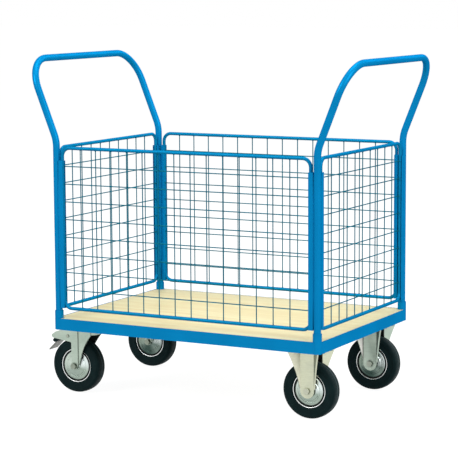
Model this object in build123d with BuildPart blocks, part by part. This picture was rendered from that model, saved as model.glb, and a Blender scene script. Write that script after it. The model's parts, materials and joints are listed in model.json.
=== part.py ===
from build123d import *
import os
from math import cos, radians, sin, sqrt, tan

os.makedirs("parts", exist_ok=True)

# The trolley stands on z = 0 with its length along x. Two swivel casters with
# brakes are at the -x end, two fixed casters at the +x end, and -y is the front.

# platform
platform_length = 850
platform_width = 600
frame_bottom = 197
rail_height = 33
rail_flange = 15
rail_sheet = 3
rail_setback = 5
weld_gap = 0.1
deck_thickness = 15
deck_gap = 1
bearer_wall = 1.5
bearer_step = 180
screw_diameter = 5
screw_head_diameter = 9
screw_head_height = 2.5
screw_bite = 10
screw_spread = 200
thread_gap = 0.05

# corner sockets, handles and their fixings
socket_diameter = 25
socket_wall = 2
socket_rise = 22
socket_floor_lift = 9
socket_floor_thickness = 4
tube_diameter = 20
tube_wall = 1.5
handle_lean = 22
handle_top = 983
handle_knee = 743.5
knee_bend = 100
corner_bend = 92
plug_height = 12
foot_bolt_diameter = 8
foot_bolt_head = 13
foot_bolt_head_height = 5.3
foot_bolt_hole = 9

# mesh panels and the channels that hold them
rod_diameter = 10
panel_bottom = 260.3
panel_rise = 462
panel_corner = 24
post_to_rod = 19.5
wire_diameter = 3
mesh_pitch = 51
long_side_upright_count = 14
end_side_upright_count = 9
cross_wire_count = 8
wire_gap = 0.05
rear_mesh_shift = 6.8
channel_sheet = 1.5
channel_slack = 1.5
channel_reach = 24
channel_top = 686
channel_floor = 2
seat_gap = 0.3

# casters
plate_under_rail = 2.5
caster_inset_y = 90
wheel_diameter = 160
wheel_width = 40
swivel_trail = 40
plate_length = 110
plate_width = 140
plate_corner = 8
fork_sheet = 4
fork_gap = 48
caster_bolt_diameter = 8
caster_bolt_hole = 9
caster_bolt_head = 13
caster_bolt_head_height = 5.3
caster_nut_height = 6.5
caster_bolt_tail = 2.5
bolt_edge_x = 10
bolt_spread_y = 50

# wheel and its roller bearing
tyre_inner_diameter = 100
tyre_shoulder = 9
tyre_heel = 3
rim_half_width = 16
rim_lip = 2.5
rim_sheet = 2
groove_face = 10
groove_inner_radius = 43
groove_outer_radius = 46
disc_outer_radius = 41
disc_outer_face = 13
disc_inner_radius = 19
disc_inner_face = 19
hub_radius = 14
hub_length = 41
axle_diameter = 10
axle_hole = 10.2
axle_head = 16
axle_head_height = 6.4
axle_nut_height = 8
axle_tail = 3
sleeve_diameter = 14
roller_diameter = 4
roller_count = 10
roller_length = 36
bearing_play = 0.05
press_gap = 0.05

# fixed fork: legs with edges folded outwards, hollow in outline and wider towards the top plate
leg_width = 41
fold_angle = 50
fold_start = 86
fold_width = 38
fold_hollow = 4

# swivel fork, measured from the king pin towards the trailing wheel
crown_top = 185
crown_radius = 31
crown_tail = 45
crown_bite = 1
crown_skirt = 6
tip_radius = 11
leg_edge = 48.5
leg_crease = 26.5
leg_joggle = 2
leg_flare = 11
leg_toe_width = 2.5
leg_toe_height = 84
leg_front_width = 47
leg_front_lip = 11.5
leg_hollow = 5.5
ear_root_height = 150
ear_chin = 109
ear_chin_height = 158
ear_nose = 121
ear_nose_height = 164.5
ear_brow = 102.5
ear_brow_height = 177.5
ear_end = 80
ear_round = 5
king_pin_diameter = 12
king_pin_head = 22
king_pin_head_height = 5
king_pin_gap = 0.3
ball_diameter = 7.6
ball_circle = 21
ball_count = 14
race_inner_radius = 25
race_wall = 3
race_gap = 1

# brake pedal, measured from its pin
pedal_pin_reach = 60.3
pedal_pin_height = 167.4
pedal_pin_diameter = 6
pedal_pin_head = 9
pedal_pin_head_height = 2
pedal_hub_radius = 7
pedal_width = 44
pedal_sheet = 4
pedal_knee_x = -30
pedal_knee_z = -8
pedal_tip_x = -69
pedal_tip_z = -46
shoe_x = -22
shoe_z = -7
shoe_radius = 6

# derived places
half_length = platform_length / 2
half_width = platform_width / 2
socket_radius = socket_diameter / 2
tube_radius = tube_diameter / 2
post_x = half_length - socket_radius
post_y = half_width - socket_radius
frame_top = frame_bottom + rail_height
deck_bottom = frame_top - deck_thickness
flange_top = frame_bottom + rail_sheet
bearer_size = deck_bottom - flange_top
post_bottom = frame_bottom + socket_floor_lift + socket_floor_thickness
lean = radians(handle_lean)
bar_z = handle_top - tube_radius
bar_x = post_x + (bar_z - handle_knee) * tan(lean)

rod_radius = rod_diameter / 2
panel_top = panel_bottom + panel_rise
long_half_span = post_x - post_to_rod
end_half_span = post_y - post_to_rod
channel_width = rod_diameter + 2 * channel_slack + 2 * channel_sheet
# a panel's round bottom corner comes to rest on the edge of the channel floor
corner_reach = post_to_rod + panel_corner - channel_reach
corner_drop = sqrt((panel_corner + rod_radius) ** 2 - corner_reach**2)
channel_floor_top = panel_bottom + panel_corner - corner_drop - seat_gap
channel_bottom = channel_floor_top - channel_floor

axle_height = wheel_diameter / 2
caster_x = half_length - rail_flange + plate_under_rail - plate_length / 2
caster_y = half_width - caster_inset_y
bolt_spread_x = plate_length - 2 * bolt_edge_x
plate_bottom = frame_bottom - fork_sheet
fork_inner = fork_gap / 2
fork_outer = fork_inner + fork_sheet
sleeve_radius = sleeve_diameter / 2
roller_circle = sleeve_radius + bearing_play + roller_diameter / 2
hub_bore_radius = roller_circle + roller_diameter / 2 + bearing_play
tyre_inner_radius = tyre_inner_diameter / 2
crown_bottom = crown_top - fork_sheet
# the hollow front edge of a swivel leg ends below a straight lip at the crown
leg_front_height = crown_top - leg_front_lip
bearer_places = [-caster_x, -bearer_step, 0, bearer_step, caster_x]
screw_places = [
    (x, y) for x in bearer_places[1:-1] for y in (-screw_spread, 0, screw_spread)
]
post_places = [(x, y) for x in (-post_x, post_x) for y in (-post_y, post_y)]


def keep(piece, name):
    piece.label = name
    export_step(piece, f"parts/{name}.step")


def bolt_places(x, y):
    return [
        (x + i * bolt_spread_x / 2, y + j * bolt_spread_y / 2)
        for i in (-1, 1)
        for j in (-1, 1)
    ]


# the welded frame
def long_rail(name, side):
    with BuildPart() as rail:
        with BuildSketch(Plane.XY.offset(frame_bottom)):
            with Locations((0, side * (half_width - rail_sheet / 2))):
                Rectangle(2 * (post_x - rail_setback), rail_sheet)
        extrude(amount=rail_height)
        with BuildSketch(Plane.XY.offset(frame_bottom)):
            with Locations((0, side * (half_width - rail_flange / 2))):
                Rectangle(2 * (half_length - rail_flange), rail_flange)
        extrude(amount=rail_sheet)
        with BuildSketch(Plane.XY.offset(frame_bottom)):
            with Locations((-post_x, side * post_y), (post_x, side * post_y)):
                Circle(socket_radius + weld_gap)
        extrude(amount=rail_height, mode=Mode.SUBTRACT)
    keep(rail.part, name)


def end_rail(name, side):
    with BuildPart() as rail:
        with BuildSketch(Plane.XY.offset(frame_bottom)):
            with Locations((side * (half_length - rail_sheet / 2), 0)):
                Rectangle(rail_sheet, 2 * (post_y - rail_setback))
        extrude(amount=rail_height)
        with BuildSketch(Plane.XY.offset(frame_bottom)):
            with Locations((side * (half_length - rail_flange / 2), 0)):
                Rectangle(rail_flange, 2 * (post_y - rail_setback))
        extrude(amount=rail_sheet)
        with BuildSketch(Plane.XY.offset(frame_bottom)):
            with Locations((side * post_x, -post_y), (side * post_x, post_y)):
                Circle(socket_radius + weld_gap)
        extrude(amount=rail_height, mode=Mode.SUBTRACT)
    keep(rail.part, name)


def caster_crossplate(name, side):
    outer = half_length - rail_flange
    with BuildPart() as plate:
        with BuildSketch(Plane.XY.offset(frame_bottom)):
            with Locations((side * (outer - plate_length / 2), 0)):
                Rectangle(plate_length, 2 * (half_width - rail_flange))
            with Locations(*post_places):
                Circle(socket_radius + weld_gap, mode=Mode.SUBTRACT)
            with Locations(*bolt_places(side * caster_x, -caster_y)):
                Circle(caster_bolt_hole / 2, mode=Mode.SUBTRACT)
            with Locations(*bolt_places(side * caster_x, caster_y)):
                Circle(caster_bolt_hole / 2, mode=Mode.SUBTRACT)
        extrude(amount=rail_sheet)
    keep(plate.part, name)


long_rail("front_rail", -1)
long_rail("rear_rail", 1)
end_rail("left_end_rail", -1)
end_rail("right_end_rail", 1)
caster_crossplate("left_caster_crossplate", -1)
caster_crossplate("right_caster_crossplate", 1)

with BuildPart() as deck_bearers:
    with BuildSketch(Plane.XZ):
        with Locations(*[(x, flange_top + bearer_size / 2) for x in bearer_places]):
            Rectangle(bearer_size, bearer_size)
            Rectangle(
                bearer_size - 2 * bearer_wall,
                bearer_size - 2 * bearer_wall,
                mode=Mode.SUBTRACT,
            )
    extrude(amount=half_width - rail_sheet - weld_gap, both=True)
    with BuildSketch(Plane.XY.offset(flange_top)):
        with Locations(*screw_places):
            Circle(screw_diameter / 2 + thread_gap)
    extrude(amount=bearer_size, mode=Mode.SUBTRACT)
keep(deck_bearers.part, "deck_bearers")

with BuildPart() as deck_board:
    with BuildSketch(Plane.XY.offset(deck_bottom)):
        Rectangle(
            platform_length - 2 * (rail_sheet + deck_gap),
            platform_width - 2 * (rail_sheet + deck_gap),
        )
        with Locations(*post_places):
            Circle(socket_radius + deck_gap, mode=Mode.SUBTRACT)
    extrude(amount=deck_thickness)
    with BuildSketch(Plane.XY.offset(deck_bottom)):
        with Locations(*screw_places):
            Circle(screw_diameter / 2 + thread_gap)
    extrude(amount=screw_bite, mode=Mode.SUBTRACT)
keep(deck_board.part, "deck_board")

with BuildPart() as deck_screws:
    with BuildSketch(Plane.XY.offset(flange_top)):
        with Locations(*screw_places):
            Circle(screw_head_diameter / 2)
    extrude(amount=-screw_head_height)
    with BuildSketch(Plane.XY.offset(flange_top)):
        with Locations(*screw_places):
            Circle(screw_diameter / 2)
    extrude(amount=bearer_size + screw_bite)
keep(deck_screws.part, "deck_screws")

# corner sockets: short tubes with a floor that a handle's foot stands on
with BuildPart() as corner_sockets:
    with BuildSketch(Plane.XY.offset(frame_bottom)):
        with Locations(*post_places):
            Circle(socket_radius)
            Circle(socket_radius - socket_wall, mode=Mode.SUBTRACT)
    extrude(amount=rail_height + socket_rise)
    with BuildSketch(Plane.XY.offset(frame_bottom + socket_floor_lift)):
        with Locations(*post_places):
            Circle(socket_radius - socket_wall / 2)
            Circle(foot_bolt_hole / 2, mode=Mode.SUBTRACT)
    extrude(amount=socket_floor_thickness)
keep(corner_sockets.part, "corner_sockets")


# push handles: one bent tube each, both legs standing in sockets
def push_handle(name, side):
    foot = (side * post_x, -post_y, post_bottom)
    with BuildPart() as handle:
        with BuildLine() as run:
            FilletPolyline(
                foot,
                (side * post_x, -post_y, handle_knee),
                (side * bar_x, -post_y, bar_z),
                (side * bar_x, post_y, bar_z),
                (side * post_x, post_y, handle_knee),
                (side * post_x, post_y, post_bottom),
                radius=[knee_bend, corner_bend, corner_bend, knee_bend],
            )
        with BuildSketch(Plane(origin=foot)):
            Circle(tube_radius)
            Circle(tube_radius - tube_wall, mode=Mode.SUBTRACT)
        sweep(path=run.wire())
    keep(handle.part, name)


push_handle("left_push_handle", -1)
push_handle("right_push_handle", 1)

with BuildPart() as handle_plugs:
    with BuildSketch(Plane.XY.offset(post_bottom)):
        with Locations(*post_places):
            Circle(tube_radius - tube_wall - press_gap)
            Circle(foot_bolt_diameter / 2 + thread_gap, mode=Mode.SUBTRACT)
    extrude(amount=plug_height)
keep(handle_plugs.part, "handle_plugs")

with BuildPart() as handle_bolts:
    with BuildSketch(Plane.XY.offset(frame_bottom + socket_floor_lift)):
        with Locations(*post_places):
            RegularPolygon(foot_bolt_head / 2, 6, major_radius=False)
    extrude(amount=-foot_bolt_head_height)
    with BuildSketch(Plane.XY.offset(frame_bottom + socket_floor_lift)):
        with Locations(*post_places):
            Circle(foot_bolt_diameter / 2)
    extrude(amount=socket_floor_thickness + plug_height)
keep(handle_bolts.part, "handle_bolts")


# U-shaped guide channels on the posts, one for the long panel and one for the end panel
def panel_channels(name, side):
    depth = channel_reach - tube_radius - weld_gap
    middle = channel_reach - depth / 2
    slot = channel_width - 2 * channel_sheet
    mouth = middle + channel_sheet / 2
    with BuildPart() as channels:
        with BuildSketch(Plane.XY.offset(channel_bottom)):
            for j in (-1, 1):
                with Locations((side * (post_x - middle), j * post_y)):
                    Rectangle(depth, channel_width)
                with Locations((side * post_x, j * (post_y - middle))):
                    Rectangle(channel_width, depth)
        extrude(amount=channel_top - channel_bottom)
        with BuildSketch(Plane.XY.offset(channel_floor_top)):
            for j in (-1, 1):
                with Locations((side * (post_x - mouth), j * post_y)):
                    Rectangle(depth - channel_sheet, slot)
                with Locations((side * post_x, j * (post_y - mouth))):
                    Rectangle(slot, depth - channel_sheet)
        extrude(amount=channel_top - channel_floor_top, mode=Mode.SUBTRACT)
    keep(channels.part, name)


panel_channels("left_panel_channels", -1)
panel_channels("right_panel_channels", 1)


# lift-out panels: a round-cornered rod frame with a welded wire mesh
def panel_frame(name, face, half_span):
    with BuildPart() as frame:
        with BuildLine(face) as outline:
            FilletPolyline(
                (-half_span, panel_bottom),
                (half_span, panel_bottom),
                (half_span, panel_top),
                (-half_span, panel_top),
                radius=panel_corner,
                close=True,
            )
        loop = outline.wire()
        with BuildSketch(Plane(origin=loop @ 0, z_dir=loop % 0)):
            Circle(rod_radius)
        sweep(path=loop)
    keep(frame.part, name)


def panel_mesh(name, face, half_span, uprights, shift):
    offset = wire_diameter / 2 + wire_gap
    end_gap = rod_radius + weld_gap
    low = panel_bottom + end_gap
    ground = Plane(origin=face.origin + Vector(0, 0, low), x_dir=face.x_dir)
    side_start = face.origin - face.x_dir * (half_span - end_gap)
    side = Plane(origin=side_start, x_dir=(0, 0, 1), z_dir=face.x_dir)
    margin = (panel_rise - (cross_wire_count - 1) * mesh_pitch) / 2
    with BuildPart() as mesh:
        with BuildSketch(ground):
            with Locations((shift, -offset)):
                with GridLocations(mesh_pitch, 1, uprights, 1):
                    Circle(wire_diameter / 2)
        extrude(amount=panel_rise - 2 * end_gap)
        with BuildSketch(side):
            for i in range(cross_wire_count):
                with Locations((panel_bottom + margin + i * mesh_pitch, -offset)):
                    Circle(wire_diameter / 2)
        extrude(amount=2 * (half_span - end_gap))
    keep(mesh.part, name)


def panel(name, face, half_span, uprights, shift=0):
    panel_frame(f"{name}_panel_frame", face, half_span)
    panel_mesh(f"{name}_panel_mesh", face, half_span, uprights, shift)


front_face = Plane(origin=(0, -post_y, 0), x_dir=(1, 0, 0), z_dir=(0, -1, 0))
rear_face = Plane(origin=(0, post_y, 0), x_dir=(-1, 0, 0), z_dir=(0, 1, 0))
left_face = Plane(origin=(-post_x, 0, 0), x_dir=(0, -1, 0), z_dir=(-1, 0, 0))
right_face = Plane(origin=(post_x, 0, 0), x_dir=(0, 1, 0), z_dir=(1, 0, 0))
panel("front", front_face, long_half_span, long_side_upright_count)
# the rear mesh was welded in a little off the middle, towards the left end
panel("rear", rear_face, long_half_span, long_side_upright_count, rear_mesh_shift)
panel("left", left_face, end_half_span, end_side_upright_count)
panel("right", right_face, end_half_span, end_side_upright_count)


# wheels: sketches lie in the plane through the axle, local x along it
def wheel_section(x, y):
    return Plane(origin=(x, y, axle_height), x_dir=(0, 1, 0), z_dir=(1, 0, 0))


def wheel_side(x, y):
    return Plane(origin=(x, y, axle_height), x_dir=(1, 0, 0), z_dir=(0, -1, 0))


def axle_line(x, y):
    return Axis((x, y, axle_height), (0, 1, 0))


def wheel_tyre(name, x, y):
    depth = axle_height - tyre_inner_radius
    with BuildPart() as tyre:
        with BuildSketch(wheel_section(x, y)) as profile:
            with Locations((0, tyre_inner_radius + depth / 2)):
                Rectangle(wheel_width, depth)
            fillet(profile.vertices().group_by(Axis.Y)[-1], tyre_shoulder)
            fillet(profile.vertices().group_by(Axis.Y)[0], tyre_heel)
        revolve(axis=axle_line(x, y))
    keep(tyre.part, name)


# each rim is two pressed half shells joined on the centre plane, on a hub tube
def wheel_rim(name, x, y):
    bore = hub_radius + press_gap
    seat = tyre_inner_radius - rim_sheet
    with BuildPart() as rim:
        for side in (-1, 1):
            with BuildSketch(wheel_section(x, y)):
                with BuildLine():
                    Polyline(
                        (side * disc_inner_face, bore),
                        (side * disc_inner_face, disc_inner_radius),
                        (side * disc_outer_face, disc_outer_radius),
                        (side * groove_face, groove_inner_radius),
                        (side * groove_face, groove_outer_radius),
                        (side * rim_half_width, tyre_inner_radius - rim_lip),
                        (side * rim_half_width, tyre_inner_radius - press_gap),
                        (side * press_gap, tyre_inner_radius - press_gap),
                        (side * press_gap, seat),
                        (side * (groove_face - rim_sheet), seat),
                        (side * (groove_face - rim_sheet), groove_inner_radius),
                        (side * (disc_outer_face - rim_sheet), disc_outer_radius),
                        (side * (disc_inner_face - rim_sheet), disc_inner_radius),
                        (side * (disc_inner_face - rim_sheet), bore),
                        close=True,
                    )
                make_face()
            revolve(axis=axle_line(x, y))
        with BuildSketch(wheel_side(x, y)):
            Circle(hub_radius)
            Circle(hub_bore_radius, mode=Mode.SUBTRACT)
        extrude(amount=hub_length / 2, both=True)
    keep(rim.part, name)


def wheel_rollers(name, x, y):
    with BuildPart() as rollers:
        with BuildSketch(wheel_side(x, y)):
            with PolarLocations(roller_circle, roller_count):
                Circle(roller_diameter / 2)
        extrude(amount=roller_length / 2, both=True)
    keep(rollers.part, name)


def axle_bolts(name, places):
    with BuildPart() as bolts:
        for x, y in places:
            with BuildSketch(wheel_side(x, y).offset(fork_outer)):
                RegularPolygon(axle_head / 2, 6, major_radius=False)
            extrude(amount=axle_head_height)
            with BuildSketch(wheel_side(x, y).offset(fork_outer)):
                Circle(axle_diameter / 2)
            extrude(amount=-(2 * fork_outer + axle_nut_height + axle_tail))
    keep(bolts.part, name)


def axle_nuts(name, places):
    with BuildPart() as nuts:
        for x, y in places:
            with BuildSketch(wheel_side(x, y).offset(-fork_outer)):
                RegularPolygon(axle_head / 2, 6, major_radius=False)
                Circle(axle_diameter / 2 + thread_gap, mode=Mode.SUBTRACT)
            extrude(amount=-axle_nut_height)
    keep(nuts.part, name)


def axle_sleeves(name, places):
    with BuildPart() as sleeves:
        for x, y in places:
            with BuildSketch(wheel_side(x, y)):
                Circle(sleeve_radius)
                Circle(axle_hole / 2, mode=Mode.SUBTRACT)
            extrude(amount=fork_inner - press_gap, both=True)
    keep(sleeves.part, name)


# a leg's sketch plane: local y up, and the sheet goes from here towards the wheel
def leg_plane(x, y, side, out):
    return Plane(
        origin=(x, y + side * out, 0), x_dir=(1, 0, 0), z_dir=(0, -1, 0)
    )


def fixed_fork(name, x, y):
    fold = radians(fold_angle)
    lap = fork_sheet * tan(fold / 2)
    with BuildPart() as fork:
        with BuildSketch(Plane.XY.offset(plate_bottom)):
            with Locations((x, y)):
                RectangleRounded(plate_length, plate_width, plate_corner)
            with Locations(*bolt_places(x, y)):
                Circle(caster_bolt_hole / 2, mode=Mode.SUBTRACT)
        extrude(amount=fork_sheet)
        for side in (-1, 1):
            with BuildSketch(leg_plane(x, y, side, fork_outer)):
                with Locations((0, (axle_height + plate_bottom) / 2)):
                    Rectangle(leg_width, plate_bottom - axle_height)
                with Locations((0, axle_height)):
                    Circle(leg_width / 2)
                    Circle(axle_hole / 2, mode=Mode.SUBTRACT)
            extrude(amount=side * fork_sheet)
            for edge in (-1, 1):
                flange = Plane(
                    origin=(x + edge * leg_width / 2, y + side * fork_outer, 0),
                    x_dir=(edge * cos(fold), side * sin(fold), 0),
                    z_dir=(side * sin(fold), -edge * cos(fold), 0),
                )
                with BuildSketch(flange):
                    with BuildLine():
                        SagittaArc(
                            (0, fold_start), (fold_width, plate_bottom), fold_hollow
                        )
                        Polyline(
                            (fold_width, plate_bottom),
                            (-lap, plate_bottom),
                            (-lap, fold_start),
                            (0, fold_start),
                        )
                    make_face()
                extrude(amount=edge * side * fork_sheet)
    keep(fork.part, name)


def swivel_fork(name, x, y):
    axle_x = -swivel_trail
    flare = radians(leg_flare)
    with BuildPart() as fork:
        # round crown, hollow underneath, with a tail that reaches back between the legs
        with BuildSketch(Plane.XY.offset(crown_bottom - crown_skirt)):
            with Locations((x, y)):
                Circle(crown_radius)
        extrude(amount=crown_skirt + fork_sheet)
        with BuildSketch(Plane.XY.offset(crown_bottom - crown_skirt)):
            with Locations((x, y)):
                Circle(crown_radius - fork_sheet)
        extrude(amount=crown_skirt, mode=Mode.SUBTRACT)
        with BuildSketch(Plane.XY.offset(crown_bottom)):
            with Locations((x - crown_tail / 2, y)):
                Rectangle(crown_tail, 2 * (fork_inner + crown_bite))
        extrude(amount=fork_sheet)
        with BuildSketch(Plane.XY.offset(crown_bottom)):
            with Locations((x, y)):
                Circle(king_pin_diameter / 2 + bearing_play)
        extrude(amount=fork_sheet, mode=Mode.SUBTRACT)
        for side in (-1, 1):
            # flat back of the leg with the ear that carries the brake pin
            with BuildSketch(leg_plane(x, y, side, fork_outer)) as leg:
                with BuildLine():
                    Polyline(
                        (-leg_edge, axle_height),
                        (-leg_edge, ear_root_height),
                        (-ear_chin, ear_chin_height),
                        (-ear_nose, ear_nose_height),
                        (-ear_brow, ear_brow_height),
                        (-ear_end, crown_top),
                        (-leg_crease, crown_top),
                        (-leg_crease, axle_height),
                        close=True,
                    )
                make_face()
                corners = [v for v in leg.vertices() if v.X < -leg_crease]
                fillet([v for v in corners if v.Y > axle_height], ear_round)
                with Locations((axle_x, axle_height)):
                    Circle(tip_radius)
                    Circle(axle_hole / 2, mode=Mode.SUBTRACT)
                with Locations((-pedal_pin_reach, pedal_pin_height)):
                    Circle(pedal_pin_diameter / 2 + press_gap, mode=Mode.SUBTRACT)
            extrude(amount=side * fork_sheet)
            # front of the leg, set in by the joggle and turned outwards at the crease
            front = Plane(
                origin=(x - leg_crease, y + side * (fork_outer - leg_joggle), 0),
                x_dir=(cos(flare), side * sin(flare), 0),
                z_dir=(side * sin(flare), -cos(flare), 0),
            )
            with BuildSketch(front):
                with BuildLine():
                    SagittaArc(
                        (leg_toe_width, leg_toe_height),
                        (leg_front_width, leg_front_height),
                        leg_hollow,
                    )
                    Polyline(
                        (leg_front_width, leg_front_height),
                        (leg_front_width, crown_top),
                        (-leg_joggle, crown_top),
                        (-leg_joggle, leg_toe_height),
                        (leg_toe_width, leg_toe_height),
                    )
                make_face()
            extrude(amount=side * fork_sheet)
    keep(fork.part, name)


def swivel_plate(name, x, y):
    with BuildPart() as plate:
        with BuildSketch(Plane.XY.offset(plate_bottom)):
            with Locations((x, y)):
                RectangleRounded(plate_length, plate_width, plate_corner)
                Circle(king_pin_diameter / 2 + press_gap, mode=Mode.SUBTRACT)
            with Locations(*bolt_places(x, y)):
                Circle(caster_bolt_hole / 2, mode=Mode.SUBTRACT)
        extrude(amount=fork_sheet)
        with BuildSketch(Plane.XY.offset(crown_top + race_gap)):
            with Locations((x, y)):
                Circle(race_inner_radius + race_wall)
                Circle(race_inner_radius, mode=Mode.SUBTRACT)
        extrude(amount=plate_bottom - crown_top - race_gap)
    keep(plate.part, name)


def brake_pin(name, x, y):
    pin_plane = Plane(
        origin=(x - pedal_pin_reach, y, pedal_pin_height),
        x_dir=(1, 0, 0),
        z_dir=(0, -1, 0),
    )
    with BuildPart() as pin:
        with BuildSketch(pin_plane):
            Circle(pedal_pin_diameter / 2)
        extrude(amount=fork_outer, both=True)
        for side in (-1, 1):
            with BuildSketch(pin_plane.offset(side * fork_outer)):
                Circle(pedal_pin_head / 2)
            extrude(amount=side * pedal_pin_head_height)
    keep(pin.part, name)


def brake_pedal(name, x, y):
    pin_plane = Plane(
        origin=(x - pedal_pin_reach, y, pedal_pin_height),
        x_dir=(1, 0, 0),
        z_dir=(0, -1, 0),
    )
    half_sheet = pedal_sheet / 2
    with BuildPart() as pedal:
        with BuildSketch(pin_plane):
            Circle(pedal_hub_radius)
            with Locations((shoe_x, shoe_z)):
                Circle(shoe_radius)
            with BuildLine():
                Polyline(
                    (0, half_sheet),
                    (pedal_knee_x, pedal_knee_z + half_sheet),
                    (pedal_tip_x, pedal_tip_z + half_sheet),
                    (pedal_tip_x, pedal_tip_z - half_sheet),
                    (pedal_knee_x, pedal_knee_z - half_sheet),
                    (0, -half_sheet),
                    close=True,
                )
            make_face()
            Circle(pedal_pin_diameter / 2 + bearing_play, mode=Mode.SUBTRACT)
        extrude(amount=pedal_width / 2, both=True)
    keep(pedal.part, name)


swivel_places = [(-caster_x, -caster_y), (-caster_x, caster_y)]
fixed_places = [(caster_x, -caster_y), (caster_x, caster_y)]


def wheel(name, x, y):
    wheel_tyre(f"{name}_tyre", x, y)
    wheel_rim(f"{name}_rim", x, y)
    wheel_rollers(f"{name}_rollers", x, y)


for end, (x, y) in zip(("front", "rear"), swivel_places):
    axle = (x - swivel_trail, y)
    swivel_plate(f"{end}_swivel_top_plate", x, y)
    swivel_fork(f"{end}_swivel_fork", x, y)
    axle_bolts(f"{end}_swivel_axle_bolt", [axle])
    axle_nuts(f"{end}_swivel_axle_nut", [axle])
    axle_sleeves(f"{end}_swivel_axle_sleeve", [axle])
    brake_pin(f"{end}_brake_pin", x, y)
    brake_pedal(f"{end}_brake_pedal", x, y)
    wheel(f"{end}_swivel", *axle)

for end, (x, y) in zip(("front", "rear"), fixed_places):
    fixed_fork(f"{end}_fixed_fork", x, y)
    wheel(f"{end}_fixed", x, y)
axle_bolts("fixed_axle_bolts", fixed_places)
axle_nuts("fixed_axle_nuts", fixed_places)
axle_sleeves("fixed_axle_sleeves", fixed_places)

# king pins and balls of the two swivel heads
with BuildPart() as king_pins:
    with BuildSketch(Plane.XY.offset(crown_bottom - king_pin_gap)):
        with Locations(*swivel_places):
            Circle(king_pin_diameter / 2)
    extrude(amount=frame_bottom - crown_bottom + king_pin_gap)
    with BuildSketch(Plane.XY.offset(crown_bottom - king_pin_gap)):
        with Locations(*swivel_places):
            Circle(king_pin_head / 2)
    extrude(amount=-king_pin_head_height)
keep(king_pins.part, "king_pins")

with BuildPart() as swivel_balls:
    for x, y in swivel_places:
        with Locations(Plane(origin=(x, y, plate_bottom - ball_diameter / 2))):
            with PolarLocations(ball_circle, ball_count):
                Sphere(ball_diameter / 2)
keep(swivel_balls.part, "swivel_balls")

# bolts and nuts that hold all four casters to the frame
caster_places = swivel_places + fixed_places
caster_bolt_places = [place for x, y in caster_places for place in bolt_places(x, y)]
caster_stack = fork_sheet + rail_sheet + caster_nut_height + caster_bolt_tail

with BuildPart() as caster_bolts:
    with BuildSketch(Plane.XY.offset(plate_bottom)):
        with Locations(*caster_bolt_places):
            RegularPolygon(caster_bolt_head / 2, 6, major_radius=False)
    extrude(amount=-caster_bolt_head_height)
    with BuildSketch(Plane.XY.offset(plate_bottom)):
        with Locations(*caster_bolt_places):
            Circle(caster_bolt_diameter / 2)
    extrude(amount=caster_stack)
keep(caster_bolts.part, "caster_bolts")

with BuildPart() as caster_nuts:
    with BuildSketch(Plane.XY.offset(flange_top)):
        with Locations(*caster_bolt_places):
            RegularPolygon(caster_bolt_head / 2, 6, major_radius=False)
            Circle(caster_bolt_diameter / 2 + thread_gap, mode=Mode.SUBTRACT)
    extrude(amount=caster_nut_height)
keep(caster_nuts.part, "caster_nuts")
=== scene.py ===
import json
import math

import bmesh
import bpy
from mathutils import Matrix, Vector, noise


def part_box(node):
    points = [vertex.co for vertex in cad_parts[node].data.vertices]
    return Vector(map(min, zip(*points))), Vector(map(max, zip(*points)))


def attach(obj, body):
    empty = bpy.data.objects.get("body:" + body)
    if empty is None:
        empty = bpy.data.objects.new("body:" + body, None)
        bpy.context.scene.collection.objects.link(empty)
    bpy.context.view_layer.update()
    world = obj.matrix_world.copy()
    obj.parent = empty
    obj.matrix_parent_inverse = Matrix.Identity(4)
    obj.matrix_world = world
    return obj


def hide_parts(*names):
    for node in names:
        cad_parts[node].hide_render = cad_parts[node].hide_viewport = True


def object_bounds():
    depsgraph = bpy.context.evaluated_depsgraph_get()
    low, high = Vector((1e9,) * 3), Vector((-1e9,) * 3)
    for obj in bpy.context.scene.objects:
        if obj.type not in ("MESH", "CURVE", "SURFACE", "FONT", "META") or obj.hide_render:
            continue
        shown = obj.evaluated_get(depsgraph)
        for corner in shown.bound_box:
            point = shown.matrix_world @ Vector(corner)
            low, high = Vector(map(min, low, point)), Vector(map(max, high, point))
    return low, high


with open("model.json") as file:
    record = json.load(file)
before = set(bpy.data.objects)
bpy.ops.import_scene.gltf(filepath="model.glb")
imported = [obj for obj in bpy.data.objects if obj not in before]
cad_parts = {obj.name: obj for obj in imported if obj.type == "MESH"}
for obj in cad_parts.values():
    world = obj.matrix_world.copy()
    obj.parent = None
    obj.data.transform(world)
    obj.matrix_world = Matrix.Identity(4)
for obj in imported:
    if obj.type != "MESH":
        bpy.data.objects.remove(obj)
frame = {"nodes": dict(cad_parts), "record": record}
cad_low, cad_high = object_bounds()
nodes = frame["nodes"]
record = frame["record"]
scene = bpy.context.scene
MM = 0.001
sides = ("front", "rear")


def middle(node):
    """The middle of a node's box."""
    low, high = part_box(node)
    return (low + high) / 2


# Materials


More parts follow.
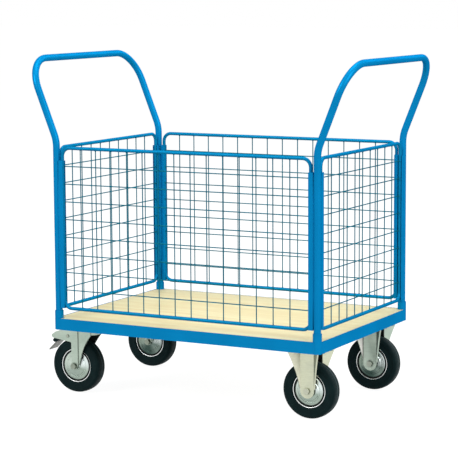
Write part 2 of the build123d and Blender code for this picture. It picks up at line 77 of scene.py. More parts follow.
class Surface:
    """A material with its principled shader, and short calls for the nodes used here."""

    def __init__(self, name, metallic=0.0):
        self.material = bpy.data.materials.new(name)
        self.material.use_nodes = True
        self.tree = self.material.node_tree
        self.shader = self.tree.nodes["Principled BSDF"]
        self.shader.inputs["Metallic"].default_value = metallic
        self.place = self.new("ShaderNodeTexCoord").outputs["Object"]

    def new(self, kind, **settings):
        node = self.tree.nodes.new(kind)
        for key, value in settings.items():
            setattr(node, key, value)
        return node

    def join(self, source, target):
        if isinstance(source, bpy.types.NodeSocket):
            self.tree.links.new(source, target)
        else:
            target.default_value = source

    def stretched(self, x, y, z):
        node = self.new("ShaderNodeMapping")
        self.join(self.place, node.inputs["Vector"])
        node.inputs["Scale"].default_value = (x, y, z)
        return node.outputs["Vector"]

    def noise(self, scale, detail=2.0, place=None, warp=0.0):
        node = self.new("ShaderNodeTexNoise")
        self.join(place or self.place, node.inputs["Vector"])
        node.inputs["Scale"].default_value = scale
        node.inputs["Detail"].default_value = detail
        node.inputs["Distortion"].default_value = warp
        return node.outputs["Fac"]

    def fit(self, value, low, high, to_low=0.0, to_high=1.0):
        node = self.new("ShaderNodeMapRange")
        self.join(value, node.inputs["Value"])
        node.inputs["From Min"].default_value = low
        node.inputs["From Max"].default_value = high
        node.inputs["To Min"].default_value = to_low
        node.inputs["To Max"].default_value = to_high
        return node.outputs["Result"]

    def patches(self, scale, detail):
        """0 to 1 in soft patches."""
        return self.fit(self.noise(scale, detail), 0.35, 0.65)

    def uneven(self, scale, detail, low, high):
        """From low to high in soft patches."""
        return self.fit(self.noise(scale, detail), 0.3, 0.7, low, high)

    def band(self, value, start, full, last, end):
        """1 from full to last, and 0 before start and after end."""
        return self.times(self.fit(value, start, full), self.fit(value, end, last))

    def calc(self, operation, a, b=0.0):
        node = self.new("ShaderNodeMath", operation=operation)
        self.join(a, node.inputs[0])
        self.join(b, node.inputs[1])
        return node.outputs["Value"]

    def times(self, a, b):
        return self.calc("MULTIPLY", a, b)

    def mix(self, share, a, b):
        node = self.new("ShaderNodeMix", data_type="RGBA")
        self.join(share, node.inputs["Factor"])
        for source, socket in ((a, node.inputs["A"]), (b, node.inputs["B"])):
            self.join(source if isinstance(source, bpy.types.NodeSocket) else (*source, 1), socket)
        return node.outputs["Result"]

    def edges(self, radius):
        """1 on an edge that sticks out or in, 0 on flat ground."""
        rounded = self.new("ShaderNodeBevel", samples=4)
        rounded.inputs["Radius"].default_value = radius
        flat = self.new("ShaderNodeNewGeometry")
        dot = self.vector("DOT_PRODUCT", rounded.outputs["Normal"], flat.outputs["Normal"])
        return self.fit(dot.outputs["Value"], 0.99, 0.8)

    def crease_shade(self, reach):
        """1 deep in a corner, where shade falls, 0 on open ground: the mask for painted shade."""
        shade = self.new("ShaderNodeAmbientOcclusion", samples=8)
        shade.inputs["Distance"].default_value = reach
        return self.fit(shade.outputs["AO"], 0.9, 0.45)

    def vector(self, operation, a, b=None):
        node = self.new("ShaderNodeVectorMath", operation=operation)
        self.join(a, node.inputs[0])
        if b is not None:
            self.join(b, node.inputs[1])
        return node

    def off_plane(self, axis, plane=0.0):
        """Distance from a plane across one of the object's own axes, in metres."""
        node = self.new("ShaderNodeSeparateXYZ")
        self.join(self.place, node.inputs["Vector"])
        return self.calc("ABSOLUTE", self.calc("SUBTRACT", node.outputs[axis], plane))

    def from_axle(self):
        """The way out from the object's own y axis."""
        return self.vector("MULTIPLY", self.place, (1, 0, 1)).outputs["Vector"]

    def radius(self):
        """Distance from the object's own y axis, in metres."""
        return self.vector("LENGTH", self.from_axle()).outputs["Value"]

    def wedge(self, way, start, full=0.97):
        """1 in a wedge of the wheel round the given way, 0 outside it."""
        out = self.vector("NORMALIZE", self.from_axle()).outputs["Vector"]
        return self.fit(self.vector("DOT_PRODUCT", out, way).outputs["Value"], start, full)

    def colour(self, source):
        self.join(source, self.shader.inputs["Base Color"])

    def rough(self, source):
        self.join(source, self.shader.inputs["Roughness"])

    def specular(self, level):
        self.shader.inputs["Specular IOR Level"].default_value = level

    def bump(self, height, strength, distance):
        node = self.new("ShaderNodeBump")
        self.join(height, node.inputs["Height"])
        node.inputs["Strength"].default_value = strength
        node.inputs["Distance"].default_value = distance
        self.join(node.outputs["Normal"], self.shader.inputs["Normal"])


def darker(colour, share):
    return [share * c for c in colour]


coat_metallic = 0.25
coat_specular_tint = (0.0, 0.35, 0.5, 1)
coat_edge = 1.2 * MM


def powder_coat(name, colour, deep, edge_tone):
    """Satin paint in faint clouds, rubbed paler on its edges."""
    coat = Surface(name, coat_metallic)
    body = coat.mix(coat.patches(11, 3), deep, colour)
    wear = coat.fit(coat.noise(60, 3), 0.42, 0.68, 0.1, 0.6)
    coat.colour(coat.mix(coat.times(coat.edges(coat_edge), wear), body, edge_tone))
    coat.rough(coat.uneven(35, 2, 0.30, 0.40))
    coat.bump(coat.noise(500, 1), 0.05, 0.3 * MM)
    coat.specular(0.0)
    coat.shader.inputs["Specular Tint"].default_value = coat_specular_tint
    return coat.material


wood_dark, wood_light = (0.78, 0.65, 0.335), (0.855, 0.775, 0.455)
wood_pale, wood_line = (0.87, 0.79, 0.495), (0.62, 0.47, 0.22)


def sealed_board(name):
    """Pale sealed wood with its grain along x."""
    board = Surface(name)
    rings = board.noise(1.5, 4, board.stretched(1.6, 17, 30), 1.2)
    tone = board.mix(board.fit(rings, 0.36, 0.64), wood_dark, wood_light)
    tone = board.mix(board.times(board.patches(2.2, 2), 0.3), tone, wood_pale)
    grain = board.noise(1, 5, board.stretched(24, 950, 950))
    lines = board.fit(grain, 0.56, 0.72, 0, 0.3)
    board.colour(board.mix(lines, tone, wood_line))
    board.rough(board.fit(grain, 0.3, 0.7, 0.38, 0.56))
    board.bump(grain, 0.15, 0.3 * MM)
    board.specular(0.25)
    return board.material


# shares of the dark tone in the drawn streaks, and of the painted shade deep in corners and along
# a fold
streak_share = 0.86
corner_shade_share = 0.12
fold_shade_share = 0.08
corner_shade_reach = 7 * MM
plate_edge = 0.8 * MM
# a fold's painted shade line reaches out to these distances from the plane between the two folds
fold_line_start, fold_line_end = 21.6 * MM, 23.4 * MM
# bare zinc on rubbed edges, partly wear and partly a painted highlight where an edge catches the
# light
bare_edge_and_glint = (0.86, 0.87, 0.83)
# least and greatest roughness
satin = (0.3, 0.45)
dull = (0.35, 0.5)


def plated(name, light, dark, gloss=satin, fold=None, edge_tone=bare_edge_and_glint, shade=0.75):
    """Plated steel with painted shade deep in corners. A fold is an x plane on both sides of which
    a painted shade line follows the bend.
    """
    plate = Surface(name, 1.0)
    streak = plate.fit(plate.noise(1, 4, plate.stretched(90, 90, 900)), 0.4, 0.7, 0, 0.5)
    tone = plate.mix(plate.patches(22, 3), dark, light)
    tone = plate.mix(streak, tone, darker(dark, streak_share))
    # painted shade deep in corners and between parts, where shade falls
    corner = plate.times(plate.crease_shade(corner_shade_reach), shade)
    tone = plate.mix(corner, tone, darker(dark, corner_shade_share))
    if fold is not None:
        # a painted shade line along the fold
        line = plate.fit(plate.off_plane("X", fold), fold_line_end, fold_line_start)
        tone = plate.mix(plate.times(line, 0.85), tone, darker(dark, fold_shade_share))
    # edges in their own tone: on bare zinc partly wear and partly a painted highlight, on bolts a
    # painted shade ring
    rubbed = plate.times(plate.edges(plate_edge), 0.45)
    plate.colour(plate.mix(rubbed, tone, edge_tone))
    plate.rough(plate.uneven(140, 4, *gloss))
    plate.bump(plate.noise(420, 3), 0.1, 0.2 * MM)
    return plate.material


# rings of a rim as four radii each: where it starts, is full, begins to fade and ends
groove_ring = [r * MM for r in (41.5, 42.8, 46.6, 47.4)]
lip_ring = [r * MM for r in (46.8, 47.4, 49.1, 49.95)]
turned_lines = 2600
# ways from the axle to the three wedges of a rim with painted light and shade: painted light on
# the left, painted shade at the foot and a painted reflection on the right
way_left = (-0.9, 0, 0.43)
way_foot = (-0.25, 0, -0.97)
way_right = (0.77, 0, 0.64)
rim_right_glint = (0.80, 0.88, 0.87)
rim_lip = (0.90, 0.93, 0.92)
groove_black = (0.008, 0.011, 0.011)


def pressed_rim(name, dark, light, left, foot_shade):
    """Zinc disc with turned rings, painted light and shade in three wedges, a groove painted near
    black, and a bright rolled lip.
    """
    rim = Surface(name, 1.0)
    out = rim.radius()
    ring = rim.calc("SINE", rim.times(out, turned_lines))
    lines = rim.fit(ring, -1, 1, 0, 0.35)
    disc = rim.mix(rim.patches(55, 3), dark, light)
    # painted light on the left, painted shade at the foot and a painted reflection on the right
    disc = rim.mix(rim.wedge(way_left, 0.5), disc, left)
    disc = rim.mix(rim.wedge(way_foot, 0.55), disc, foot_shade)
    disc = rim.mix(rim.wedge(way_right, 0.5), disc, rim_right_glint)
    disc = rim.mix(lines, disc, darker(dark, 0.7))
    # the groove is painted near black
    groove_mask = rim.band(out, *groove_ring)
    tone = rim.mix(groove_mask, disc, groove_black)
    rim.colour(rim.mix(rim.band(out, *lip_ring), tone, rim_lip))
    rim.rough(rim.calc("ADD", rim.uneven(170, 3, 0.2, 0.34), rim.times(groove_mask, 0.5)))
    rim.join(rim.calc("SUBTRACT", 1.0, groove_mask), rim.shader.inputs["Metallic"])
    rim.bump(lines, 0.08, 0.2 * MM)
    round_grain = rim.new("ShaderNodeTangent", direction_type="RADIAL", axis="Y")
    rim.join(round_grain.outputs["Tangent"], rim.shader.inputs["Tangent"])
    rim.shader.inputs["Anisotropic"].default_value = 0.7
    return rim.material


# a tyre's tread and its mould seam, by radius, and the seam's half width
tread_start, tread_full = 75 * MM, 79.5 * MM
seam_start, seam_full = 78.6 * MM, 79.4 * MM
seam_edge, seam_core = 1.9 * MM, 0.9 * MM
rubber_dark, rubber_light = (0.002, 0.010, 0.011), (0.005, 0.018, 0.019)
rubber_tread, rubber_seam = (0.012, 0.026, 0.029), (0.05, 0.075, 0.08)


def tyre_rubber(name):
    """Black rubber, greyer on the tread and along the mould seam."""
    tyre = Surface(name)
    out = tyre.radius()
    tone = tyre.mix(tyre.patches(45, 4), rubber_dark, rubber_light)
    scuffs = tyre.fit(tyre.noise(160, 5), 0.45, 0.7, 0.1, 0.75)
    tone = tyre.mix(tyre.times(tyre.fit(out, tread_start, tread_full), scuffs), tone, rubber_tread)
    beside = tyre.fit(tyre.off_plane("Y"), seam_edge, seam_core)
    seam = tyre.times(tyre.fit(out, seam_start, seam_full), beside)
    tyre.colour(tyre.mix(seam, tone, rubber_seam))
    tyre.rough(tyre.uneven(90, 3, 0.5, 0.7))
    tyre.bump(tyre.noise(900, 3), 0.2, 0.25 * MM)
    tyre.specular(0.08)
    return tyre.material


blue_paint = powder_coat(
    "blue_paint", (0.003, 0.250, 0.565), (0.003, 0.228, 0.520), edge_tone=(0.03, 0.33, 0.66)
)
rod_paint = powder_coat(
    "rod_paint", (0.004, 0.222, 0.460), (0.004, 0.200, 0.420), edge_tone=(0.03, 0.30, 0.55)
)
wire_paint = powder_coat(
    "wire_paint", (0.008, 0.170, 0.245), (0.008, 0.145, 0.210), edge_tone=(0.03, 0.23, 0.34)
)
deck_wood = sealed_board("deck_wood")
rubber = tyre_rubber("tyre_rubber")

fixed_x = middle("front_fixed_tyre").x
# bolt edges painted dark: painted shade round the heads
shaded_edge, warm_shaded_edge = (0.02, 0.03, 0.025), (0.03, 0.04, 0.03)
zinc_plate = plated("zinc_plate", (0.46, 0.54, 0.46), (0.375, 0.455, 0.385))
zinc_warm = plated("zinc_warm", (0.58, 0.60, 0.445), (0.51, 0.535, 0.41), shade=0.2)
# faces that look at the wheel: painted shade inside the fork
zinc_inside_shade = plated("zinc_inside_shade", (0.035, 0.042, 0.04), (0.02, 0.026, 0.025), (0.5, 0.7))
zinc_bolt = plated("zinc_bolt", (0.30, 0.34, 0.28), (0.20, 0.235, 0.19), edge_tone=shaded_edge)
zinc_bright = plated("zinc_bright", (0.40, 0.44, 0.375), (0.29, 0.33, 0.275), edge_tone=shaded_edge)
warm_bolt = plated("warm_bolt", (0.56, 0.57, 0.45), (0.46, 0.48, 0.38), edge_tone=warm_shaded_edge)
# the pedal painted dark: painted shade under the platform
pedal_shaded_steel = plated("pedal_shaded_steel", (0.20, 0.205, 0.175), (0.13, 0.135, 0.115), dull)
bearing_steel = plated("bearing_steel", (0.70, 0.71, 0.72), (0.58, 0.59, 0.60), (0.12, 0.22))
# lit and shaded copies of the fork zinc for the folds: painted light and painted shade
fold_lit = plated("fold_lit", (0.68, 0.67, 0.62), (0.58, 0.59, 0.54), fold=fixed_x)
fold_shaded = plated("fold_shaded", (0.13, 0.17, 0.15), (0.075, 0.105, 0.095), dull, fixed_x)
warm_fold_lit = plated("warm_fold_lit", (0.66, 0.655, 0.51), (0.60, 0.60, 0.47), shade=0.2)
warm_fold_shaded = plated(
    "warm_fold_shaded", (0.30, 0.34, 0.28), (0.23, 0.27, 0.23), fold=fixed_x
)
rim_zinc = pressed_rim(
    "rim_zinc", (0.30, 0.375, 0.32), (0.39, 0.465, 0.40),
    left=(0.52, 0.60, 0.53), foot_shade=(0.31, 0.38, 0.33),
)
# a darker copy for the rear wheels: painted shade under the deck, with a near black foot
rim_shaded = pressed_rim(
    "rim_shaded", (0.15, 0.205, 0.18), (0.225, 0.28, 0.245),
    left=(0.25, 0.32, 0.26), foot_shade=(0.03, 0.06, 0.05),
)

slot_of = {s["node"]: s["material_slot"] for s in record["subparts"]}
body_of = {n: b for b, members in record["behaviour"]["bodies"].items() for n in members}
slot_finishes = {
    "blue_paint": blue_paint,
    "deck_wood": deck_wood,
    "zinc_plate": zinc_plate,
    "bearing_steel": bearing_steel,
    "tyre_rubber": rubber,
}


def finish_for(node):
    """The material of a node, which differs from its slot's for fasteners, pedals and panels."""
    if node == "front_fixed_fork":
        return zinc_warm
    if node == "fixed_axle_bolts" or node.endswith("_brake_pin"):
        return zinc_bright
    if node.endswith(("_bolt", "_bolts", "_nut", "_nuts", "_pin")):
        return zinc_bolt
    if node.endswith("_pedal"):
        return pedal_shaded_steel
    if node.endswith("_panel_frame"):
        return rod_paint
    if node.endswith("_mesh"):
        return wire_paint
    return slot_finishes[slot_of[node]]


for node, thing in nodes.items():
    thing.data.materials.clear()
    thing.data.materials.append(finish_for(node))


# Mesh helpers


def piece(name, mesh, body, slot, materials, place=None, angle=35):
    """A new piece of the object, smooth except at its sharp edges, riding on a body."""
    thing = bpy.data.objects.new(name, mesh)
    scene.collection.objects.link(thing)
    if place is not None:
        thing.matrix_world = Matrix.Translation(place)
    if not mesh.materials:
        for each in materials:
            mesh.materials.append(each)
        mesh.polygons.foreach_set("use_smooth", [True] * len(mesh.polygons))
        mesh.set_sharp_from_angle(angle=math.radians(angle))
    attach(thing, body)
    return thing


def finished(bm, name):
    bmesh.ops.recalc_face_normals(bm, faces=bm.faces[:])
    mesh = bpy.data.meshes.new(name)
    bm.to_mesh(mesh)
    bm.free()
    return mesh


# a corner this straight stays a point, and an arc takes at most this share of a side
nearly_straight = math.radians(178)
side_share = 0.48


def softened(corners, bends=4):
    """A closed outline of (a, b, radius) corners with each corner turned into an arc."""
    points = []
    count = len(corners)
    for i, (a, b, radius) in enumerate(corners):
        here = Vector((a, b))
        back = Vector(corners[i - 1][:2]) - here
        ahead = Vector(corners[(i + 1) % count][:2]) - here
        turn = back.angle(ahead)
        if radius <= 0 or turn > nearly_straight:
            points.append((a, b))
            continue
        most = side_share * back.length, side_share * ahead.length
        reach = min(radius / math.tan(turn / 2), *most)
        start = here + back.normalized() * reach
        end = here + ahead.normalized() * reach
        for k in range(bends + 1):
            t = k / bends
            p = start * (1 - t) ** 2 + here * (2 * t * (1 - t)) + end * t**2
            points.append((p.x, p.y))
    return points


def bridge(bm, loops):
    """Faces between each loop of points and the next."""
    for low, high in zip(loops, loops[1:]):
        count = len(low)
        for k in range(count):
            n = (k + 1) % count
            bm.faces.new((low[k], low[n], high[n], high[k]))


def turned(bm, outline, steps):
    """Turns a closed outline of (radius, y) points about the y axis, sizes in mm."""
    rings = []
    for i in range(steps):
        a = 2 * math.pi * i / steps
        rings.append([
            bm.verts.new((r * MM * math.cos(a), y * MM, r * MM * math.sin(a)))
            for r, y in outline
        ])
    bridge(bm, rings + rings[:1])


def dome(bm, centre, axis, radius, height, rings=4, steps=14):
    """A rivet head or weld nugget standing on a face."""
    centre = Vector(centre)
    turn = Vector((0, 0, 1)).rotation_difference(Vector(axis)).to_matrix()
    loops = []
    for i in range(rings):
        a = math.pi / 2 * i / rings
        r, z = radius * math.cos(a), height * math.sin(a)
        loop = []
        for k in range(steps):
            b = 2 * math.pi * k / steps
            out = Vector((r * math.cos(b), r * math.sin(b), z))
            loop.append(bm.verts.new(centre + turn @ out))
        loops.append(loop)
    top = bm.verts.new(centre + turn @ Vector((0, 0, height)))
    bridge(bm, loops)
    for k in range(steps):
        bm.faces.new((loops[-1][k], loops[-1][(k + 1) % steps], top))
    bm.faces.new(loops[0][::-1])


bead_sides = 8
least_bead_rings = 6
# a bead swells and shrinks by these shares of its radius, a little further on at each ring
ripple_share, ripple_step = 0.12, 2.1
lump_share, lump_step = 0.1, 0.7
# a bead's share of its radius at its ends, and how steeply it grows from there
end_share, end_slope = 0.25, 4


def weld_bead(bm, start, end, radius, seed, step=1.6 * MM):
    """A rippled bead of weld metal from start to end, thin at both ends."""
    start, end = Vector(start), Vector(end)
    along = end - start
    rings = max(least_bead_rings, int(along.length / step))
    turn = Vector((0, 0, 1)).rotation_difference(along).to_matrix()
    loops = []
    for i in range(rings + 1):
        t = i / rings
        ripple = ripple_share * math.sin(i * ripple_step + seed)
        lump = lump_share * noise.noise(Vector((seed, i * lump_step, 0)))
        taper = min(1.0, end_slope * min(t, 1 - t) + end_share)
        r = radius * (1 + ripple + lump) * taper
        loop = []
        for k in range(bead_sides):
            a = 2 * math.pi * k / bead_sides
            out = Vector((r * math.cos(a), r * math.sin(a), 0))
            loop.append(bm.verts.new(start + along * t + turn @ out))
        loops.append(loop)
    bridge(bm, loops)
    bm.faces.new(loops[0][::-1])
    bm.faces.new(loops[-1])


same_point = 2e-6
flat_angle, edge_angle = math.radians(1), math.radians(40)


def rounded_copy(node, width, sort=None, others=()):
    """The node's own shape with its edges broken. Sort picks another material for a face."""
    bm = bmesh.new()
    bm.from_mesh(nodes[node].data)
    bmesh.ops.remove_doubles(bm, verts=bm.verts[:], dist=same_point)
    bmesh.ops.dissolve_limit(
        bm,
        angle_limit=flat_angle,
        verts=bm.verts[:],
        edges=bm.edges[:],
        use_dissolve_boundaries=False,
    )
    if sort:
        for face in bm.faces:
            face.material_index = sort(face)
    mesh = finished(bm, node + "_rounded")
    materials = [nodes[node].data.materials[0], *others]
    copy = piece(node + "_rounded", mesh, body_of[node], slot_of[node], materials)
    bevel = copy.modifiers.new("broken_edges", "BEVEL")
    bevel.width = width
    bevel.segments = 2
    bevel.limit_method = "ANGLE"
    bevel.angle_limit = edge_angle
    bevel.harden_normals = True
    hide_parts(node)
    return copy


# Wheels, as outlines of (radius, y, corner radius) in mm

wheel_steps = 96
hub_steps = 48
rivet_count = 6
rivet_circle = 31.2
rivet_seat = 15.7
rivet_lean = 0.26
rivet_radius = 2.6
rivet_height = 1.5
tyre_half = [
    (50.2, 0, 0), (50.2, 18.6, 2), (52.5, 20, 0.8), (54.2, 20, 0.5), (54.8, 19.3, 0.4),
    (67.4, 19.3, 0.4), (68, 20, 0.5), (70.5, 20, 3), (77.6, 17.4, 5), (79.4, 11, 8),
    (80, 2.2, 1), (79.7, 0.7, 0.2),
]
rim_face = [
    (14.1, 19, 0), (18, 19, 2.5), (21, 18.5, 3), (28.6, 17.3, 0.6), (29.4, 16.2, 0.6),
    (33, 15.6, 0.6), (33.8, 16.5, 0.6), (40, 15.6, 2), (42.4, 14.4, 1), (43.2, 10, 0.8),
    (46, 10, 0.8), (46.9, 14.6, 0.8), (47.5, 15.6, 0.6), (48.7, 16, 0.8), (49.95, 15.5, 0.4),
    (49.95, 0.1, 0),
]
rim_back = [
    (48, 0.1, 0), (48, 8, 1), (41.6, 8, 1), (39.6, 13.2, 2), (31, 13.8, 2), (18.5, 16.4, 2),
    (14.1, 16.4, 0),
]
hub_tube = [
    (11.15, -20.5), (13.6, -20.5), (14, -20.1), (14, 20.1), (13.6, 20.5), (11.15, 20.5),
]


def tyre_form():
    """The half outline and its mirror image, turned about the axle."""
    mirrored = [(r, -y, f) for r, y, f in reversed(tyre_half[1:])]
    bm = bmesh.new()
    turned(bm, softened(tyre_half + mirrored), wheel_steps)
    return finished(bm, "tyre_form")


def rim_form():
    """Two pressed halves with a ring of rivet heads on each, on a hub tube."""
    bm = bmesh.new()
    for side in (-1, 1):
        half = [(r, side * y, f) for r, y, f in rim_face + rim_back]
        turned(bm, softened(half), wheel_steps)
        for k in range(rivet_count):
            a = 2 * math.pi * (k + 0.5) / rivet_count
            out = Vector((math.cos(a), 0, math.sin(a)))
            seat = (out * rivet_circle + Vector((0, side * rivet_seat, 0))) * MM
            lean = out * rivet_lean + Vector((0, side, 0))
            dome(bm, seat, lean.normalized(), rivet_radius * MM, rivet_height * MM)
    turned(bm, hub_tube, hub_steps)
    return finished(bm, "rim_form")


rim_angle = 50
tyre_mesh = tyre_form()
rim_mesh = rim_form()
rims = {"front": (rim_mesh, rim_zinc), "rear": (rim_mesh.copy(), rim_shaded)}
for side in sides:
    mesh, finish = rims[side]
    for kind in ("swivel", "fixed"):
        body = f"{side}_{kind}_wheel"
        centre = middle(f"{side}_{kind}_tyre")
        tyre = piece(f"{body}_tyre_moulded", tyre_mesh, body, "tyre_rubber", [rubber], centre)
        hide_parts(f"{side}_{kind}_tyre")
        rim = piece(f"{body}_rim_pressed", mesh, body, "zinc_plate", [finish], centre, rim_angle)
        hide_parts(f"{side}_{kind}_rim")


# Casters, frame and fasteners with broken edges

crown_height = 184 * MM
fork_half_gap = 27.5 * MM
# how far a face's normal has to lean to look at the wheel or outwards, and may lean up or down
looks_inwards = 0.4
looks_outwards = 0.3
looks_up = 0.05
# inner faces get painted shade, and the fixed forks' folds painted light and painted shade
fork_finishes = {
    "front_swivel": (zinc_inside_shade, zinc_plate, zinc_plate),
    "rear_swivel": (zinc_inside_shade, zinc_plate, zinc_plate),
    "front_fixed": (zinc_inside_shade, warm_fold_lit, warm_fold_shaded),
    "rear_fixed": (zinc_inside_shade, fold_lit, fold_shaded),
}


def fork_faces(y):
    """Numbers a fork's faces for painted light and shade: 1 looks at the wheel, 2 and 3 are the
    folds that look outwards.
    """

    def sort(face):
        centre, way = face.calc_center_median(), face.normal
        away = centre.y - y
        out = way.y * math.copysign(1, away)
        if centre.z < crown_height and abs(away) < fork_half_gap and out < -looks_inwards:
            return 1
        if abs(way.x) > looks_outwards and abs(way.z) < looks_up and out > looks_outwards:
            return 2 if way.x > 0 else 3
        return 0

    return sort


def on_front(face):
    """1 for a face of the front caster's bolt, 0 for the rear one's."""
    return int(face.calc_center_median().y < 0)


sheet_edge = 0.8 * MM
pedal_edge = 0.6 * MM
rail_edge = 0.9 * MM
channel_edge = 0.35 * MM
board_edge = 0.8 * MM
bolt_edge = 0.5 * MM
for caster, others in fork_finishes.items():
    faces = fork_faces(middle(f"{caster}_tyre").y)
    rounded_copy(f"{caster}_fork", sheet_edge, faces, others)
for side in sides:
    rounded_copy(f"{side}_swivel_top_plate", sheet_edge)
    rounded_copy(f"{side}_brake_pedal", pedal_edge)
for node in ("front_rail", "rear_rail", "left_end_rail", "right_end_rail"):
    rounded_copy(node, rail_edge)
for node in ("left_panel_channels", "right_panel_channels"):
    rounded_copy(node, channel_edge)
rounded_copy("deck_board", board_edge)
rounded_copy("fixed_axle_bolts", bolt_edge, on_front, (warm_bolt,))
for node in ("fixed_axle_nuts", "front_swivel_axle_bolt", "rear_swivel_axle_bolt",
             "front_swivel_axle_nut", "rear_swivel_axle_nut", "caster_bolts", "caster_nuts"):
    rounded_copy(node, bolt_edge)


# A black tread stands out over each brake pedal; its black is partly painted shade, for the shade
# under the platform. Measured from the pedal's pin, in mm

tread_outline = softened([
    (-20, -3, 1), (-36, -7.2, 3), (-51, -11, 3), (-57, -17.5, 2.5), (-50, -23, 2),
    (-43, -21.4, 1), (-33, -15.4, 2), (-20, -11.5, 2),
])
tread_middle = Vector((-38, -11))
tread_half_width = 23
tread_bevel = 0.8
rib_count = 7
rib_pitch = 4.1
rib_radius = 1.1
rib_half_length = 18
rib_start = Vector((-24.5, 0, -4))
rib_slope = Vector((-15, 0, -3.9))
# the tread in slices across, each with how far its outline draws in
tread_layers = [
    (-tread_half_width, tread_bevel),
    (-tread_half_width + tread_bevel, 0),
    (tread_half_width - tread_bevel, 0),
    (tread_half_width, tread_bevel),
]


def brake_tread_and_shade(bm, pin):
    """A moulded tread with ribs across its upper face, whose black also stands for shade."""
    loops = []
    for y, inset in tread_layers:
        loop = []
        for a, b in tread_outline:
            away = (Vector((a, b)) - tread_middle).normalized() * inset
            loop.append(bm.verts.new(pin + Vector((a - away.x, y, b - away.y)) * MM))
        loops.append(loop)
    bridge(bm, loops)
    bm.faces.new(loops[0][::-1])
    bm.faces.new(loops[-1])
    half = Vector((0, rib_half_length * MM, 0))
    along = rib_slope.normalized()
    for k in range(rib_count):
        seat = pin + (rib_start + along * k * rib_pitch) * MM
        weld_bead(bm, seat - half, seat + half, rib_radius * MM, 0.0)


tread_angle = 40
joints = {joint["name"]: joint for joint in record["behaviour"]["joints"]}
for side in sides:
    bm = bmesh.new()
    brake_tread_and_shade(bm, Vector(joints[f"{side}_brake_press"]["pos_m"]))
    name = f"{side}_brake_tread_and_shade"
    tread = finished(bm, name)
    piece(name, tread, f"{side}_brake", "tyre_rubber", [rubber], angle=tread_angle)


# Welds

weld_angle = 60
socket_radius = 12.5 * MM


def posts():
    """The signs of each corner and the middle of its post."""
    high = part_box("corner_sockets")[1]
    for i in (-1, 1):
        for j in (-1, 1):
            yield i, j, i * (high.x - socket_radius), j * (high.y - socket_radius)


def corner_welds():
    """Beads in the corners between the rails and the sockets."""
    radius = 1.3 * MM
    inset = 1.35 * MM
    back = 4.6 * MM
    foot_gap, head_gap = 1 * MM, 0.5 * MM
    rail_low, rail_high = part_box("front_rail")
    low, high = rail_low.z + foot_gap, rail_high.z - head_gap
    out = socket_radius - inset
    bm = bmesh.new()
    for i, j, x, y in posts():
        for px, py in ((x - i * back, y + j * out), (x + i * out, y - j * back)):
            weld_bead(bm, (px, py, low), (px, py, high), radius, px * 90 + py * 37)
    return finished(bm, "corner_welds")


def channel_welds():
    """Long beads that hold the channels to the posts."""
    radius = 1.6 * MM
    step = 4 * MM
    out, aside = 8.7 * MM, 7.4 * MM
    low, high = 272 * MM, 680 * MM
    bm = bmesh.new()
    for i, j, x, y in posts():
        for beside in (-aside, aside):
            for px, py in ((x - i * out, y + beside), (x + beside, y - j * out)):
                weld_bead(bm, (px, py, low), (px, py, high), radius, px * 70 + py * 41, step)
    return finished(bm, "channel_welds")


rod_radius = 5 * MM
wire_pitch = 51 * MM
wire_offset = 1.55 * MM
cross_wire_count = 8
rear_mesh_shift = 6.8 * MM
nugget_seat = 4.6 * MM
nugget_radius = 2.5 * MM
nugget_height = 2.6 * MM


def in_panel(run, along, away, z):
    """A point of a panel that runs along x, for a run of 0, or along y, for 1."""
    return (along, away, z) if run == 0 else (away, along, z)


def nugget(bm, seat, way):
    dome(bm, seat, way, nugget_radius, nugget_height, rings=3, steps=8)


def panel_welds(panel, run, upright_count, shift):
    """A nugget of weld joins each end of a wire to the rod round the panel."""
    low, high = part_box(f"{panel}_panel_frame")
    across = (low[1 - run] + high[1 - run]) / 2
    outwards = math.copysign(wire_offset, across)
    rod_low, rod_high = low.z + rod_radius, high.z - rod_radius
    margin = (rod_high - rod_low - (cross_wire_count - 1) * wire_pitch) / 2
    reach = high[run] - rod_radius - nugget_seat
    bm = bmesh.new()
    for k in range(upright_count):
        along = (k - (upright_count - 1) / 2) * wire_pitch - shift
        for z, way in ((rod_low + nugget_seat, 1), (rod_high - nugget_seat, -1)):
            nugget(bm, in_panel(run, along, across + outwards, z), (0, 0, way))
    for k in range(cross_wire_count):
        z = rod_low + margin + k * wire_pitch
        for way in (-1, 1):
            seat = in_panel(run, -way * reach, across - outwards, z)
            nugget(bm, seat, in_panel(run, way, 0, 0))
    return finished(bm, f"{panel}_panel_welds")


def welds(name, mesh, body, paint):
    piece(name, mesh, body, "blue_paint", [paint], angle=weld_angle)


welds("corner_welds", corner_welds(), "chassis", blue_paint)
welds("channel_welds", channel_welds(), "chassis", blue_paint)
# each panel with its run, its number of upright wires and their shift
for panel, run, upright_count, shift in (
    ("front", 0, 14, 0), ("rear", 0, 14, rear_mesh_shift), ("left", 1, 9, 0), ("right", 1, 9, 0),
):
    nuggets = panel_welds(panel, run, upright_count, shift)
    welds(f"{panel}_panel_welds", nuggets, f"{panel}_panel", wire_paint)


# Camera, light and floor

camera_place = (2.554567, -4.753297, 1.184454)
camera_yaw, camera_pitch, camera_roll = 28.346, -7.459, -0.322
focal_pixels, picture_pixels = 1876.169, 458
sensor_width = 36

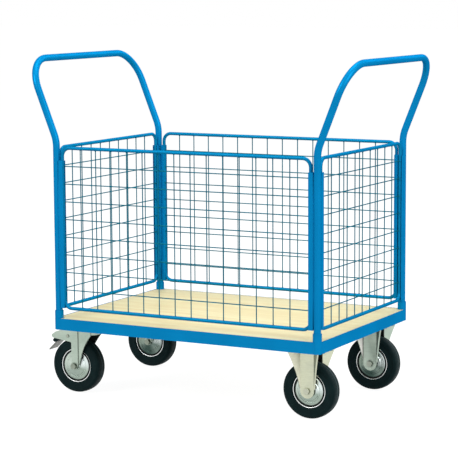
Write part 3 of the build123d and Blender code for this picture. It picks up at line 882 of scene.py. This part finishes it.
camera = bpy.data.objects.new("camera", bpy.data.cameras.new("camera"))
scene.collection.objects.link(camera)
yaw, pitch, roll = (math.radians(a) for a in (camera_yaw, camera_pitch, camera_roll))
level = math.cos(pitch)
ahead = Vector((-math.sin(yaw) * level, math.cos(yaw) * level, math.sin(pitch)))
right = ahead.cross(Vector((0, 0, 1))).normalized()
up = right.cross(ahead)
right, up = (
    math.cos(roll) * right + math.sin(roll) * up,
    math.cos(roll) * up - math.sin(roll) * right,
)
stand = Matrix((right, up, -ahead)).transposed().to_4x4()
stand.translation = camera_place
camera.matrix_world = stand
camera.data.sensor_width = sensor_width
camera.data.lens = focal_pixels * sensor_width / picture_pixels
camera.data.clip_start, camera.data.clip_end = 0.1, 100
scene.camera = camera


def softbox(name, place, target, size, power):
    lamp = bpy.data.objects.new(name, bpy.data.lights.new(name, "AREA"))
    scene.collection.objects.link(lamp)
    lamp.data.shape = "SQUARE"
    lamp.data.size = size
    lamp.data.energy = power
    lamp.location = place
    lamp.rotation_mode = "QUATERNION"
    lamp.rotation_quaternion = (Vector(target) - Vector(place)).to_track_quat("-Z", "Y")


softbox("key", place=(-2.2, -4.2, 3.6), target=(0, 0, 0.4), size=2.4, power=140)
softbox("side", place=(4.6, -1.2, 2.4), target=(0, 0, 0.4), size=2.4, power=112)
softbox("top", place=(0.2, 0.4, 4.4), target=(0, 0, 0.3), size=2.6, power=95)
softbox("back", place=(1.6, 4.4, 3.0), target=(0, 0, 0.5), size=2.6, power=60)


def seen_directly(tree):
    """1 for what the camera sees, straight or in a mirror or glass."""
    path = tree.nodes.new("ShaderNodeLightPath")
    total = path.outputs["Is Camera Ray"]
    for name in ("Is Glossy Ray", "Is Transmission Ray"):
        most = tree.nodes.new("ShaderNodeMath")
        most.operation = "MAXIMUM"
        tree.links.new(total, most.inputs[0])
        tree.links.new(path.outputs[name], most.inputs[1])
        total = most.outputs["Value"]
    return total


def show(tree, output, lighting, seen):
    """Links one shader that lights the object and another that is seen directly."""
    pick = tree.nodes.new("ShaderNodeMixShader")
    tree.links.new(seen_directly(tree), pick.inputs["Fac"])
    tree.links.new(lighting, pick.inputs[1])
    tree.links.new(seen, pick.inputs[2])
    tree.links.new(pick.outputs["Shader"], tree.nodes[output].inputs["Surface"])


ambient_strength = 0.34
world = bpy.data.worlds.new("studio")
scene.world = world
world.use_nodes = True
tree = world.node_tree
ambient = tree.nodes["Background"]
ambient.inputs["Color"].default_value = (1, 1, 1, 1)
ambient.inputs["Strength"].default_value = ambient_strength
white = tree.nodes.new("ShaderNodeBackground")
white.inputs["Color"].default_value = (1, 1, 1, 1)
white.inputs["Strength"].default_value = 1.0
show(tree, "World Output", ambient.outputs["Background"], white.outputs["Background"])

# the floor is seen as white with a soft shadow, and throws less light up than it shows
floor_reach = 40
floor_drop = 0.5 * MM
floor_grey = (0.4, 0.4, 0.4, 1)
floor_shadow = (0.22, 0.22, 0.22, 1)
floor_glow = 0.93
floor_corners = [
    (i * floor_reach, j * floor_reach, 0) for i, j in ((-1, -1), (1, -1), (1, 1), (-1, 1))
]
floor_mesh = bpy.data.meshes.new("floor")
floor_mesh.from_pydata(floor_corners, [], [(0, 1, 2, 3)])
floor = bpy.data.objects.new("floor", floor_mesh)
scene.collection.objects.link(floor)
floor.location.z = cad_low.z - floor_drop
pale = bpy.data.materials.new("pale_floor")
pale.use_nodes = True
tree = pale.node_tree
matt = tree.nodes["Principled BSDF"]
matt.inputs["Base Color"].default_value = floor_grey
matt.inputs["Roughness"].default_value = 0.9
lit = tree.nodes.new("ShaderNodeBsdfDiffuse")
lit.inputs["Color"].default_value = floor_shadow
glow = tree.nodes.new("ShaderNodeEmission")
glow.inputs["Strength"].default_value = floor_glow
both = tree.nodes.new("ShaderNodeAddShader")
tree.links.new(lit.outputs["BSDF"], both.inputs[0])
tree.links.new(glow.outputs["Emission"], both.inputs[1])
show(tree, "Material Output", matt.outputs["BSDF"], both.outputs["Shader"])
floor_mesh.materials.append(pale)

scene.view_settings.view_transform = "Standard"
